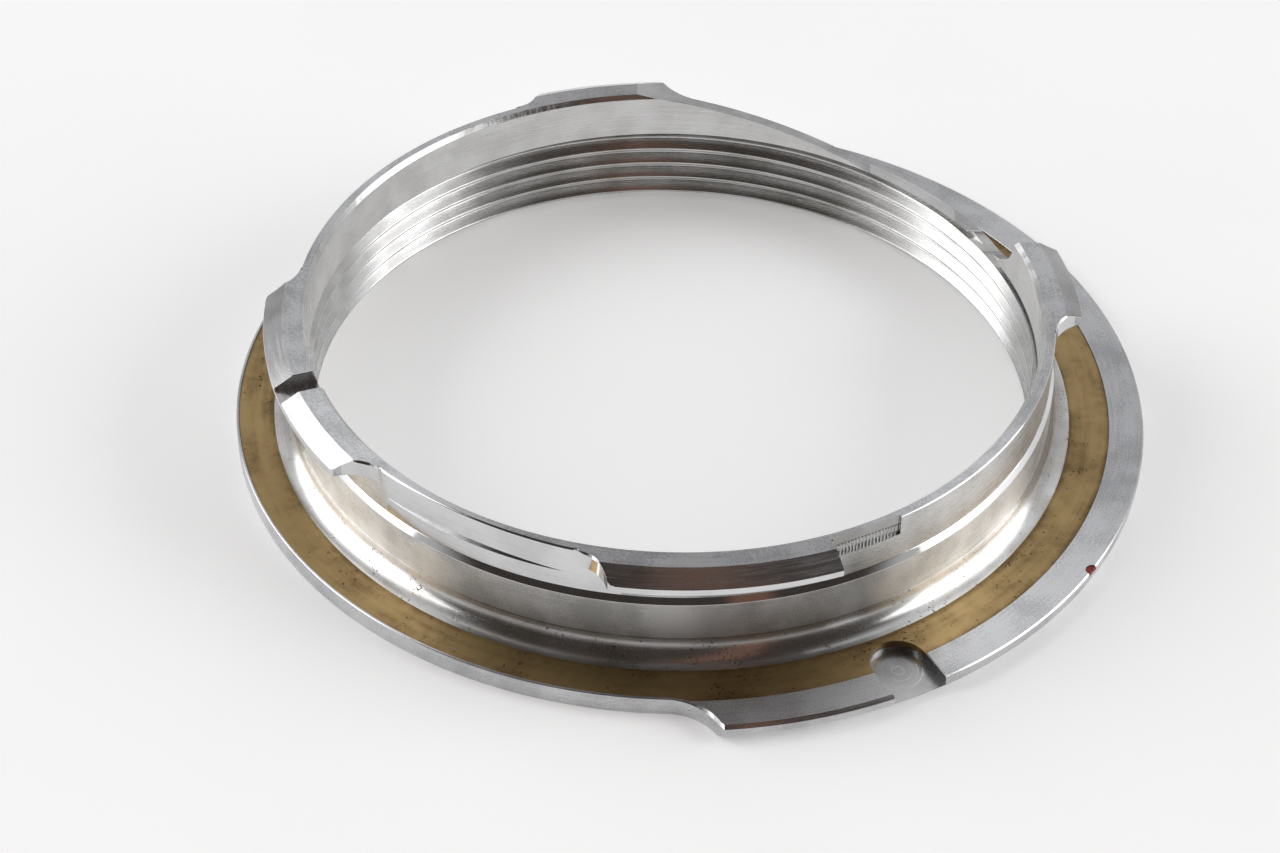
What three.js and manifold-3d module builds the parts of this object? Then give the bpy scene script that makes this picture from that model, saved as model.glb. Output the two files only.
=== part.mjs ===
// Screw-to-bayonet lens mount adapter ring.
//
// Frame: millimetres, +Z along the ring's axis, towards the camera. The origin is on the axis
// in the plane of the flange's lens side. Angles run anticlockwise about +Z from +X.
// The lens screws in from below (-Z); the bayonet barrel points up (+Z) into the camera.

import * as THREE from 'three';
import { mergeVertices } from 'three/addons/utils/BufferGeometryUtils.js';
import Module from 'manifold-3d';

const wasm = await Module();
wasm.setup();

// ---- Driving dimensions (mm and degrees) ----------------------------------------------------

const STEPS = 120;              // flats round a full turn
const SEAM = 0.04;              // clearance left between neighbouring bodies

// Flange
const FLANGE_R = 25.1;          // full rim radius
const FLANGE_T = 1.0;           // thickness, which sets the focus register
const RIM_CHAMFER = 0.18;
const RIM_UNDERCUT = 0.42;       // chamfer on the lens side of the rim

// Bare bearing band let into the camera side of the flange
const BAND_IN_R = 21.15;
const BAND_OUT_R = 23.25;
const BAND_TOP = 0.93;
const BAND_FLOOR = 0.55;

// Relieved part of the rim, cut by a round cutter going round the flange
const RELIEF_R = 23.15;
const RELIEF_LIP = 0.14;
const RELIEF_CUTTER_R = 3.0;
const RELIEF_FROM = 134.5;
const RELIEF_TO = 269.5;

// Lock-pin notch, open through the rim
const NOTCH_ANGLE = -61.2;
const NOTCH_WIDTH = 2.9;
const NOTCH_END_R = 21.6;
const NOTCH_FLOOR = 0.35;

// Index groove in the rim and the enamel in it
const INDEX_ANGLE = -32.4;
const INDEX_R = 0.37;
const INDEX_FLOOR = 0.72;
const INDEX_TOP = 0.95;

// Barrel
const WALL_R = 20.05;           // brushed outer wall
const COVE_R = 1.08;            // polished cove between the wall and the flange
const WALL_TOP = 4.22;
const NECK_R = 19.85;
const NECK_BASE = 4.55;
const RIM_TOP = 7.05;
const RIM_BREAK = 0.1;
const RIM_BREAK_IN = 0.22;

// Bore: 39 mm x 26 threads per inch below, a smooth bore above
const PITCH = 25.4 / 26;
const THREAD_CREST_R = 19.0;
const THREAD_ROOT_R = 19.5;
const THREAD_FROM = 0.3;        // below it, a plain entry
const THREAD_TO = 4.16;         // above it, a run-out groove
const ENTRY_R = 19.6;
const RUNOUT_R = 19.52;
const RUNOUT_TO = 4.4;
const BORE_R = 19.15;

// Bayonet lugs
const LUG_R = 21.42;
const LUG_UNDERSIDE = 6.1;
const LUG_EDGE = 6.5;
const LUG_TOP_R = 20.42;
const CUTTER_R = 2.5;           // cutter that forms the lugs' rounded ends
const LUG_LEFT = { from: 172.6, to: 224.5 };
const LUG_FRONT = { from: 255.8, to: 292.4, plainTo: true };
const LUG_RIGHT = { from: -6.0, to: 19, plainTo: true };
const LUG_BACK = { from: 86.5, to: 117.5 };

// Shallow pocket milled in the neck between the left and front lugs
const POCKET_ANGLE = 240;
const POCKET_HALF = 15;
const POCKET_DEPTH = 0.13;
const POCKET_FLOOR = 5.5;

// Key slot across the left lug
const KEY_ANGLE = -159.0;
const KEY_WIDTH = 1.3;
const KEY_FLOOR = 6.35;

// Flat milled beside the front lug
const FLAT_ANGLE = -61.8;
const FLAT_WIDTH = 3.8;
const FLAT_R = 19.62;
const FLAT_FLOOR = 5.95;

// Cut-away that clears the camera's feeler roller: a slope, a level and a round dip
const CUTAWAY_LEVEL = 4.45;
const SLOPE_TOP_X = -2.2;
const SLOPE_FOOT_X = 11.1;
const DIP_X = 15.6;
const DIP_Y = 9.0;
const DIP_R = 3.2;
const DIP_FLOOR = 4.13;

// ---- Materials ------------------------------------------------------------------------------

const chrome = { color: 0xb9bcc0, roughness: 0.22, metalness: 1.0 };
const satinChrome = { color: 0xa9acb1, roughness: 0.45, metalness: 1.0 };
const bareBrass = { color: 0x8a6a32, roughness: 0.42, metalness: 1.0 };
const redEnamel = { color: 0x9a1016, roughness: 0.35, metalness: 0.0 };

// ---- Helpers --------------------------------------------------------------------------------

const rad = THREE.MathUtils.degToRad;

// A point in the XY plane from a radius and an angle in degrees.
function polar(radius, degrees) {
  const a = rad(degrees);
  return new THREE.Vector2(radius * Math.cos(a), radius * Math.sin(a));
}

// Points along an arc about a centre, both ends included, at about the rings' own step.
function arc(centre, radius, from, to, step = 360 / STEPS) {
  const count = Math.max(2, Math.ceil(Math.abs(to - from) / step));
  const points = [];
  for (let i = 0; i <= count; i += 1) {
    points.push(polar(radius, from + ((to - from) * i) / count).add(centre));
  }
  return points;
}

// A closed three.js geometry as a solid, with shared vertices merged and faces turned outwards.
function solid(geometry) {
  const source = geometry.clone();
  source.deleteAttribute('normal');
  source.deleteAttribute('uv');
  const merged = mergeVertices(source, 1e-5);
  const vertices = merged.attributes.position.array;
  const corners = merged.index.array;
  const kept = [];
  let volume = 0;
  for (let i = 0; i < corners.length; i += 3) {
    const [a, b, c] = [corners[i], corners[i + 1], corners[i + 2]];
    if (a === b || b === c || c === a) {
      continue;
    }
    kept.push(a, b, c);
    const [p, q, r] = [a, b, c].map((k) => new THREE.Vector3().fromArray(vertices, 3 * k));
    volume += p.dot(q.cross(r));
  }
  if (volume < 0) {
    kept.reverse();
  }
  const vertProperties = new Float32Array(vertices);
  const triVerts = new Uint32Array(kept);
  return new wasm.Manifold(new wasm.Mesh({ numProp: 3, vertProperties, triVerts }));
}

// A solid of revolution about Z from a closed profile of [radius, height] pairs.
function turned(profile) {
  const points = [...profile, profile[0]].map(([r, z]) => new THREE.Vector2(r, z));
  const geometry = new THREE.LatheGeometry(points, STEPS);
  geometry.rotateX(Math.PI / 2);
  return solid(geometry);
}

// A straight prism on a closed outline in the XY plane, between two heights.
function prism(outline, bottom, top) {
  const geometry = new THREE.ExtrudeGeometry(new THREE.Shape(outline), {
    depth: top - bottom,
    bevelEnabled: false,
    steps: 1,
  });
  geometry.translate(0, 0, bottom);
  return solid(geometry);
}

// A sector of a flat ring, used to cut a turned ring to length.
function wedge(inner, outer, from, to, bottom, top) {
  const origin = new THREE.Vector2();
  const outline = [...arc(origin, inner, from, to), ...arc(origin, outer, to, from)];
  return prism(outline, bottom, top);
}

// The path of a round cutter that goes round the ring and leaves the radius `floor` behind.
function cutterPath(floor, cutter, from, to, bottom, top) {
  const origin = new THREE.Vector2();
  const centre = floor + cutter;
  const outline = [
    ...arc(origin, floor, from, to),
    ...arc(polar(centre, to), cutter, to + 180, to, 10).slice(1),
    ...arc(origin, centre + cutter, to, from).slice(1),
    ...arc(polar(centre, from), cutter, from, from - 180, 10).slice(1, -1),
  ];
  return prism(outline, bottom, top);
}

// A straight cut across the ring: it starts at `inner`, runs outwards and has parallel sides.
function radialCut(angle, width, inner, outer, bottom, top, roundEnd = false) {
  const half = width / 2;
  const outline = roundEnd
    ? arc(new THREE.Vector2(inner + half, 0), half, 90, 270, 12)
    : [new THREE.Vector2(inner, half), new THREE.Vector2(inner, -half)];
  outline.push(new THREE.Vector2(outer, -half), new THREE.Vector2(outer, half));
  const turnedOutline = outline.map((p) => p.rotateAround(new THREE.Vector2(), rad(angle)));
  return prism(turnedOutline, bottom, top);
}

// A named mesh from a solid.
function part(name, body, finish) {
  const mesh = body.getMesh();
  const geometry = new THREE.BufferGeometry();
  geometry.setAttribute('position', new THREE.BufferAttribute(mesh.vertProperties, 3));
  geometry.setIndex(new THREE.BufferAttribute(mesh.triVerts, 1));
  geometry.computeVertexNormals();
  const node = new THREE.Mesh(geometry, new THREE.MeshStandardMaterial(finish));
  node.name = name;
  return node;
}

// ---- Shared cutters -------------------------------------------------------------------------

function notchCutter() {
  return radialCut(NOTCH_ANGLE, NOTCH_WIDTH, NOTCH_END_R, 28, NOTCH_FLOOR, 2, true);
}

function keySlot() {
  return radialCut(KEY_ANGLE, KEY_WIDTH, 18, 23, KEY_FLOOR, 8);
}

// Cut-away of the neck: a long slope falling towards +X meets a low level, and a round cutter
// lying along X ends it, with a dip below the level and a wall up to the right lug.
function cutaway() {
  const top = 9;
  const fall = (RIM_TOP - CUTAWAY_LEVEL) / (SLOPE_FOOT_X - SLOPE_TOP_X);
  const start = SLOPE_TOP_X - (top - RIM_TOP) / fall;
  const alongX = [
    new THREE.Vector2(start, top),
    new THREE.Vector2(SLOPE_FOOT_X, CUTAWAY_LEVEL),
    new THREE.Vector2(DIP_X, CUTAWAY_LEVEL),
    new THREE.Vector2(DIP_X, DIP_FLOOR - 0.2),
    new THREE.Vector2(24, DIP_FLOOR - 0.2),
    new THREE.Vector2(24, top),
  ];
  const slope = new THREE.ExtrudeGeometry(new THREE.Shape(alongX), {
    depth: 30,
    bevelEnabled: false,
    steps: 1,
  });
  slope.rotateX(Math.PI / 2);
  slope.translate(0, 30, 0);

  const centre = new THREE.Vector2(DIP_Y, DIP_FLOOR + DIP_R);
  const meets = (Math.asin((centre.y - CUTAWAY_LEVEL) / DIP_R) * 180) / Math.PI;
  const alongY = [
    new THREE.Vector2(DIP_Y - DIP_R, top),
    ...arc(centre, DIP_R, 180, 360 - meets, 7.5),
    new THREE.Vector2(30, CUTAWAY_LEVEL),
    new THREE.Vector2(30, top),
  ];
  const rise = new THREE.ExtrudeGeometry(new THREE.Shape(alongY), {
    depth: 50,
    bevelEnabled: false,
    steps: 1,
  });
  rise.rotateX(Math.PI / 2);
  rise.rotateZ(Math.PI / 2);
  rise.translate(-25, 0, 0);
  return solid(slope).intersect(solid(rise));
}

// The pocket: deepest at its middle, it runs out to nothing at both ends.
function pocketCutter() {
  const from = POCKET_ANGLE - POCKET_HALF;
  const to = POCKET_ANGLE + POCKET_HALF;
  const inner = [];
  for (let angle = from; angle <= to; angle += 3) {
    const share = (angle - POCKET_ANGLE) / POCKET_HALF;
    inner.push(polar(NECK_R - POCKET_DEPTH * (1 - share * share), angle));
  }
  const outline = [...inner, ...arc(new THREE.Vector2(), 24, to, from)];
  return prism(outline, POCKET_FLOOR, 8);
}

// The shape that the lens thread leaves: rows of a cylinder's wall follow the helix, going from
// crest to root every half pitch, and stop at the two end planes.
function threadPlug() {
  const height = THREAD_TO - THREAD_FROM;
  const rows = Math.ceil(height / (PITCH / 2)) + 4;
  const geometry = new THREE.CylinderGeometry(1, 1, height, STEPS, rows);
  const position = geometry.attributes.position;
  const texture = geometry.attributes.uv;
  const normal = geometry.attributes.normal;
  for (let i = 0; i < position.count; i += 1) {
    const onAxis = Math.hypot(position.getX(i), position.getZ(i)) < 0.5;
    const isCap = Math.abs(normal.getY(i)) > 0.5;
    const around = Math.atan2(position.getX(i), position.getZ(i)) / (2 * Math.PI);
    const flat = Math.round((isCap ? around : texture.getX(i)) * STEPS);
    const turn = (isCap ? flat + STEPS : flat) / STEPS - (isCap && flat >= 0 ? 1 : 0);
    const row = isCap ? (normal.getY(i) > 0 ? rows : 0) : Math.round(texture.getY(i) * rows);
    const helix = THREAD_FROM + (row / 2 - 1 + turn - 0.25) * PITCH;
    const z = THREE.MathUtils.clamp(helix, THREAD_FROM, THREAD_TO);
    const phase = 2 * ((z - THREAD_FROM) / PITCH - turn + 0.25);
    const depth = 1 - Math.abs(THREE.MathUtils.euclideanModulo(phase, 2) - 1);
    const radius = onAxis ? 0 : THREAD_CREST_R + (THREAD_ROOT_R - THREAD_CREST_R) * depth;
    const angle = 2 * Math.PI * (turn % 1);
    position.setXYZ(i, radius * Math.cos(angle), radius * Math.sin(angle), z);
  }
  return solid(geometry);
}

// ---- Flange, bearing band and index ---------------------------------------------------------

function reliefCutter(floor) {
  return cutterPath(floor, RELIEF_CUTTER_R, RELIEF_FROM, RELIEF_TO, -1, 3);
}

// The band's outline between two heights, or the channel for it when given a clearance.
function bandRing(inner, floor, top, clearance = 0) {
  const outer = BAND_OUT_R + clearance;
  const ring = turned([
    [inner, floor],
    [outer, floor],
    [outer, top],
    [inner, top],
  ]);
  return ring.subtract(reliefCutter(RELIEF_R - RELIEF_LIP + clearance));
}

function flange() {
  const plate = turned([
    [BAND_IN_R, 0],
    [FLANGE_R - RIM_UNDERCUT, 0],
    [FLANGE_R, RIM_UNDERCUT],
    [FLANGE_R, FLANGE_T - RIM_CHAMFER],
    [FLANGE_R - RIM_CHAMFER, FLANGE_T],
    [BAND_IN_R, FLANGE_T],
  ]);
  const groove = prism(arc(polar(FLANGE_R, INDEX_ANGLE), INDEX_R, 0, 345, 15), INDEX_FLOOR, 2);
  return plate
    .subtract(reliefCutter(RELIEF_R))
    .subtract(bandRing(BAND_IN_R - 0.5, BAND_FLOOR - SEAM, FLANGE_T + 1, SEAM))
    .subtract(notchCutter())
    .subtract(groove);
}

function bearingBand() {
  return bandRing(BAND_IN_R, BAND_FLOOR, BAND_TOP).subtract(notchCutter());
}

function indexMark() {
  const fill = prism(
    arc(polar(FLANGE_R, INDEX_ANGLE), INDEX_R - SEAM, 0, 345, 15),
    INDEX_FLOOR + SEAM,
    INDEX_TOP,
  );
  const inside = turned([
    [BAND_OUT_R, 0],
    [FLANGE_R - 0.06, 0],
    [FLANGE_R - 0.06, FLANGE_T - RIM_CHAMFER],
    [FLANGE_R - RIM_CHAMFER, FLANGE_T],
    [BAND_OUT_R, FLANGE_T],
  ]);
  return fill.intersect(inside);
}

// ---- Barrel ---------------------------------------------------------------------------------

function barrel() {
  const foot = BAND_IN_R - SEAM;
  const cove = arc(new THREE.Vector2(foot, BAND_TOP + COVE_R), COVE_R, 270, 180, 15);
  const body = turned([
    [18, 0],
    [foot, 0],
    ...cove.map((p) => [p.x, p.y]),
    [WALL_R, BAND_TOP + COVE_R + 0.02],
    [WALL_R, WALL_TOP],
    [NECK_R, NECK_BASE],
    [18, NECK_BASE],
  ]);
  const bore = turned([
    [0, -1],
    [ENTRY_R, -1],
    [ENTRY_R, THREAD_FROM],
    [THREAD_CREST_R - 0.5, THREAD_FROM],
    [THREAD_CREST_R - 0.5, THREAD_TO],
    [RUNOUT_R, THREAD_TO],
    [RUNOUT_R, RUNOUT_TO],
    [BORE_R, RUNOUT_TO],
    [BORE_R, 6],
    [0, 6],
  ]);
  return body.subtract(bore.add(threadPlug())).subtract(cutaway());
}

function neck() {
  const ring = turned([
    [BORE_R, NECK_BASE + SEAM],
    [NECK_R, NECK_BASE + SEAM],
    [NECK_R, RIM_TOP - RIM_BREAK],
    [NECK_R - RIM_BREAK, RIM_TOP],
    [BORE_R + RIM_BREAK_IN, RIM_TOP],
    [BORE_R, RIM_TOP - RIM_BREAK_IN],
  ]);
  const flat = radialCut(FLAT_ANGLE, FLAT_WIDTH, FLAT_R, 24, FLAT_FLOOR, 8);
  return ring.subtract(pocketCutter()).subtract(flat).subtract(keySlot()).subtract(cutaway());
}

// One bayonet lug: a length of chamfered ring, with a cutter's radius left at its ends unless
// its far end is plain.
function lug(spec, cuts = []) {
  const seat = NECK_R + SEAM;
  const ring = turned([
    [seat, LUG_UNDERSIDE],
    [LUG_R, LUG_UNDERSIDE],
    [LUG_R, LUG_EDGE],
    [LUG_TOP_R, RIM_TOP],
    [seat, RIM_TOP],
  ]);
  const body = ring
    .intersect(wedge(19, 23, spec.from, spec.to, 5, 8))
    .subtract(cutterPath(NECK_R, CUTTER_R, spec.from - 12, spec.from, 5, 8));
  const ends = spec.plainTo ? [] : [cutterPath(NECK_R, CUTTER_R, spec.to, spec.to + 12, 5, 8)];
  return [...ends, ...cuts].reduce((whole, cut) => whole.subtract(cut), body);
}

// ---- Assembly -------------------------------------------------------------------------------

const ring = new THREE.Group();
ring.name = 'lens_mount_adapter_ring';
ring.add(
  part('flange', flange(), satinChrome),
  part('bearing_band', bearingBand(), bareBrass),
  part('index_mark', indexMark(), redEnamel),
  part('threaded_barrel', barrel(), satinChrome),
  part('bayonet_neck', neck(), chrome),
  part('bayonet_lug_left', lug(LUG_LEFT, [keySlot()]), chrome),
  part('bayonet_lug_front', lug(LUG_FRONT), chrome),
  part('bayonet_lug_right', lug(LUG_RIGHT, [cutaway()]), chrome),
  part('bayonet_lug_back', lug(LUG_BACK), chrome),
);

export default ring;
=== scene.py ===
"""Visual model of a screw-to-bayonet lens mount adapter ring.

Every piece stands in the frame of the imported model: metres, +Z along the ring's axis towards the
camera body, the origin on the axis in the plane of the flange's lens side. Shapes are made in
millimetres, in the same frame, and brought to metres when they are dressed.
"""

import sys
import logging
import math
from dataclasses import dataclass
from enum import Enum
from typing import Callable, Sequence

import bmesh
import bpy
import numpy as np
from mathutils import Matrix, Vector


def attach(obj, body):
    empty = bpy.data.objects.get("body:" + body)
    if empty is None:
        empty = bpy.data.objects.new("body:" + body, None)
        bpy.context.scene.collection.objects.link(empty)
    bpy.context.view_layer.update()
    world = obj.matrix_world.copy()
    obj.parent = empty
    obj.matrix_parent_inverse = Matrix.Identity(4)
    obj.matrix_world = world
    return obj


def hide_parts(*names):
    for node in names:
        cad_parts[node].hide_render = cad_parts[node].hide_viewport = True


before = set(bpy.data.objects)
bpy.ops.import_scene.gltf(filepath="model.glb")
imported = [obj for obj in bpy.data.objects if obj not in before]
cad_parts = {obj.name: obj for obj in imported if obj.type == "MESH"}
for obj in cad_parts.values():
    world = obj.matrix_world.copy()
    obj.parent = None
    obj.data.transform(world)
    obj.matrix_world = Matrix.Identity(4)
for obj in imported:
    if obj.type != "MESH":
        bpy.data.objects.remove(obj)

MM = 0.001
TOP = 7.05  # height of the neck and the lugs
SMOOTH_ANGLE = 26.0  # edges that turn by more than this stay sharp
NOTCH_ANGLE = -61.2
NOTCH_CENTRE = 23.05  # distance from the axis to the middle of the notch's round end
FLAT_ANGLE = -61.8  # the flat beside the front lug
OVERHEAD = 9.0  # height that the neck's cutters reach
LEVEL = 0.9  # a face whose normal has a larger z counts as level
TICK_TOPS = (6.42, 6.55)  # heights between which the flat's upright marks fade out
Rows = list[tuple[float, float]]
Tone = tuple[float, float, float]
Profile = Callable[[float], Rows]
Zoning = Callable[["Spot"], "Finish"]

log = logging.getLogger("adapter_ring")


class Slot(Enum):
    """The record's material slots."""

    SATIN = "satin_chrome"
    BRIGHT = "bright_chrome"
    BRASS = "bare_brass"
    ENAMEL = "red_enamel"


class Lay(Enum):
    """The way that tool marks run over a face."""

    ROUND = "round the axis"
    ARCS = "arcs about the lock notch's cutter"
    UPRIGHT = "straight up the flat beside the front lug"


class Cut(Enum):
    """What a cutter does to the piece that it meets."""

    AWAY = "DIFFERENCE"
    KEEP = "INTERSECT"


# ---- Cutter geometry --------------------------------------------------------------------------


def polar(radius: float, degrees: float) -> Vector:
    """A point in the XY plane.

    Args:
        radius: distance from the axis, mm.
        degrees: angle anticlockwise from +X.

    Returns:
        The point, with z 0.
    """
    angle = math.radians(degrees)
    return Vector((radius * math.cos(angle), radius * math.sin(angle), 0.0))


def arc(across: float, up: float, radius: float, degrees: Sequence[float]) -> Rows:
    """Points on a circle.

    Args:
        across: the centre's first coordinate, mm.
        up: the centre's second coordinate, mm.
        radius: the circle's radius, mm.
        degrees: the points' angles.

    Returns:
        The points' coordinates, in pairs.
    """
    turns = [math.radians(a) for a in degrees]
    return [(across + radius * math.cos(a), up + radius * math.sin(a)) for a in turns]


def turn_between(first: float, second: float) -> float:
    """The turn from one angle to another, from -180 to 180 degrees."""
    return (second - first + 180.0) % 360.0 - 180.0


def soft_least(first: float, second: float, blend: float) -> float:
    """The lesser of two lengths, with the corner between them eased over a blend length."""
    ease = max(blend - abs(first - second), 0.0) / blend
    return min(first, second) - ease * ease * blend / 4.0


@dataclass(frozen=True)
class RoundCutter:
    """A round cutter that goes round the ring and leaves a smaller radius; mm and degrees."""

    floor: float
    radius: float
    start: float
    stop: float

    def edge(self, degrees: float) -> float:
        """The radius that the cutter leaves at one angle.

        Args:
            degrees: angle about the axis.

        Returns:
            The radius in mm, or a large number where the cutter never comes.
        """
        middle = (self.start + self.stop) / 2
        beyond = abs(turn_between(middle, degrees)) - (self.stop - self.start) / 2
        if beyond <= 0:
            return self.floor
        centre = self.floor + self.radius
        across = centre * math.sin(math.radians(beyond))
        if beyond > 60 or across > self.radius:
            return 1e3
        reach = math.sqrt(self.radius**2 - across**2)
        return centre * math.cos(math.radians(beyond)) - reach


# ---- Mesh making ------------------------------------------------------------------------------


def linked(name: str, data: bpy.types.ID) -> bpy.types.Object:
    """Makes an object and links it into the scene.

    Args:
        name: the object's name.
        data: its mesh, light or camera.

    Returns:
        The new object.
    """
    made = bpy.data.objects.new(name, data)
    bpy.context.scene.collection.objects.link(made)
    return made


def new_object(name: str, work: bmesh.types.BMesh) -> bpy.types.Object:
    """Welds a mesh, turns its faces outwards and links it into the scene.

    Args:
        name: the object's name.
        work: the mesh in mm, freed here.

    Returns:
        The new object.
    """
    bmesh.ops.remove_doubles(work, verts=work.verts, dist=2e-4)
    bmesh.ops.dissolve_degenerate(work, edges=work.edges, dist=1e-5)
    bmesh.ops.recalc_face_normals(work, faces=work.faces)
    if work.calc_volume(signed=True) < 0:
        bmesh.ops.reverse_faces(work, faces=work.faces)
    mesh = bpy.data.meshes.new(name)
    work.to_mesh(mesh)
    work.free()
    return linked(name, mesh)


def loops_to_object(name: str, loops: np.ndarray, joined: bool, capped: bool) -> bpy.types.Object:
    """Skins a row of closed loops, all with the same number of points.

    Args:
        name: the object's name.
        loops: array of loops by points by xyz, in mm.
        joined: whether the last loop joins the first.
        capped: whether the end loops are filled.

    Returns:
        The new object.
    """
    work = bmesh.new()
    rows = [[work.verts.new(point) for point in loop] for loop in loops]
    count, size = len(rows), len(rows[0])
    for i in range(count if joined else count - 1):
        here, there = rows[i], rows[(i + 1) % count]
        for j in range(size):
            k = (j + 1) % size
            work.faces.new((here[j], there[j], there[k], here[k]))
    if capped:
        work.faces.new(list(reversed(rows[0])))
        work.faces.new(rows[-1])
    return new_object(name, work)


def turned(angles: Sequence[float], profile: Profile) -> np.ndarray:
    """Stands a radius-height profile at each of several angles about the axis.

    Args:
        angles: the angles in degrees.
        profile: gives the closed profile in mm at an angle, always with as many points.

    Returns:
        Array of loops by points by xyz, in mm.
    """
    loops = []
    for degrees in angles:
        c, s = math.cos(math.radians(degrees)), math.sin(math.radians(degrees))
        loops.append([(r * c, r * s, z) for r, z in profile(degrees)])
    return np.array(loops)


def swept(name: str, angles: Sequence[float], profile: Profile, closed: bool) -> bpy.types.Object:
    """Sweeps a radius-height profile round the axis.

    Args:
        name: the object's name.
        angles: the columns' angles in degrees, rising.
        profile: gives the closed profile in mm at an angle, always with as many points.
        closed: whether the sweep is a whole turn, so that its ends meet.

    Returns:
        The new object.
    """
    return loops_to_object(name, turned(angles, profile), closed, not closed)


def lofted(
    name: str, outlines: Sequence[Sequence[Vector]], heights: Sequence[float]
) -> bpy.types.Object:
    """Stacks outlines at rising heights into a solid cutter.

    Args:
        name: the object's name.
        outlines: the outlines in plan, in mm.
        heights: the height of each.

    Returns:
        The cutter.
    """
    loops = [[(p.x, p.y, z) for p in line] for line, z in zip(outlines, heights)]
    return loops_to_object(name, np.array(loops), False, True)


def settle(piece: bpy.types.Object) -> bpy.types.Mesh:
    """Works a piece's modifiers into its mesh.

    Args:
        piece: the object.

    Returns:
        Its new mesh.
    """
    graph = bpy.context.evaluated_depsgraph_get()
    copy = piece.evaluated_get(graph)
    mesh = bpy.data.meshes.new_from_object(copy, preserve_all_data_layers=True, depsgraph=graph)
    piece.modifiers.clear()
    old, piece.data = piece.data, mesh
    bpy.data.meshes.remove(old)
    return mesh


def carve(
    target: bpy.types.Object, tools: Sequence[bpy.types.Object], way: Cut = Cut.AWAY
) -> None:
    """Cuts an object with tools, which are used up.

    Args:
        target: the object, whose mesh is replaced.
        tools: the cutters.
        way: whether what lies inside the tools is cut away or kept.
    """
    for tool in tools:
        cut = target.modifiers.new("cut", "BOOLEAN")
        cut.object, cut.operation, cut.solver = tool, way.value, "MANIFOLD"
    mesh = settle(target)
    for tool in tools:
        spent = tool.data
        bpy.data.objects.remove(tool)
        bpy.data.meshes.remove(spent)
    if not mesh.polygons:
        raise RuntimeError(f"{target.name}: nothing was left after cutting")


def column_angles(
    start: float, stop: float, step: float, keys: Sequence[float] = ()
) -> list[float]:
    """Column angles for a sweep, closer together near the places where the profile changes.

    Args:
        start: first angle.
        stop: last angle, included.
        step: widest step.
        keys: angles about which the columns are set a quarter of a degree apart.

    Returns:
        The angles, rising.
    """
    count = max(2, math.ceil((stop - start) / step))
    found = {round(start + (stop - start) * i / count, 4) for i in range(count + 1)}
    for key in keys:
        for shift in (*np.arange(-7, 7.01, 0.25), -0.02, 0.02):
            angle = start + (key + shift - start) % 360.0
            if angle < stop:
                found.add(round(angle, 4))
    return sorted(found)


# ---- Finishes ---------------------------------------------------------------------------------


@dataclass(frozen=True)
class Spot:
    """The middle of a face, in mm, and the way that it looks."""

    place: Vector
    normal: Vector

    @property
    def radius(self) -> float:
        """Distance from the axis."""
        return math.hypot(self.place.x, self.place.y)

    @property
    def outward(self) -> float:
        """How far the face looks away from the axis, from -1 to 1."""
        return (self.normal.x * self.place.x + self.normal.y * self.place.y) / self.radius

    def near(self, centre: Vector, reach: float) -> bool:
        """Whether the spot lies within reach of a point, seen from above."""
        return math.hypot(self.place.x - centre.x, self.place.y - centre.y) < reach


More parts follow.
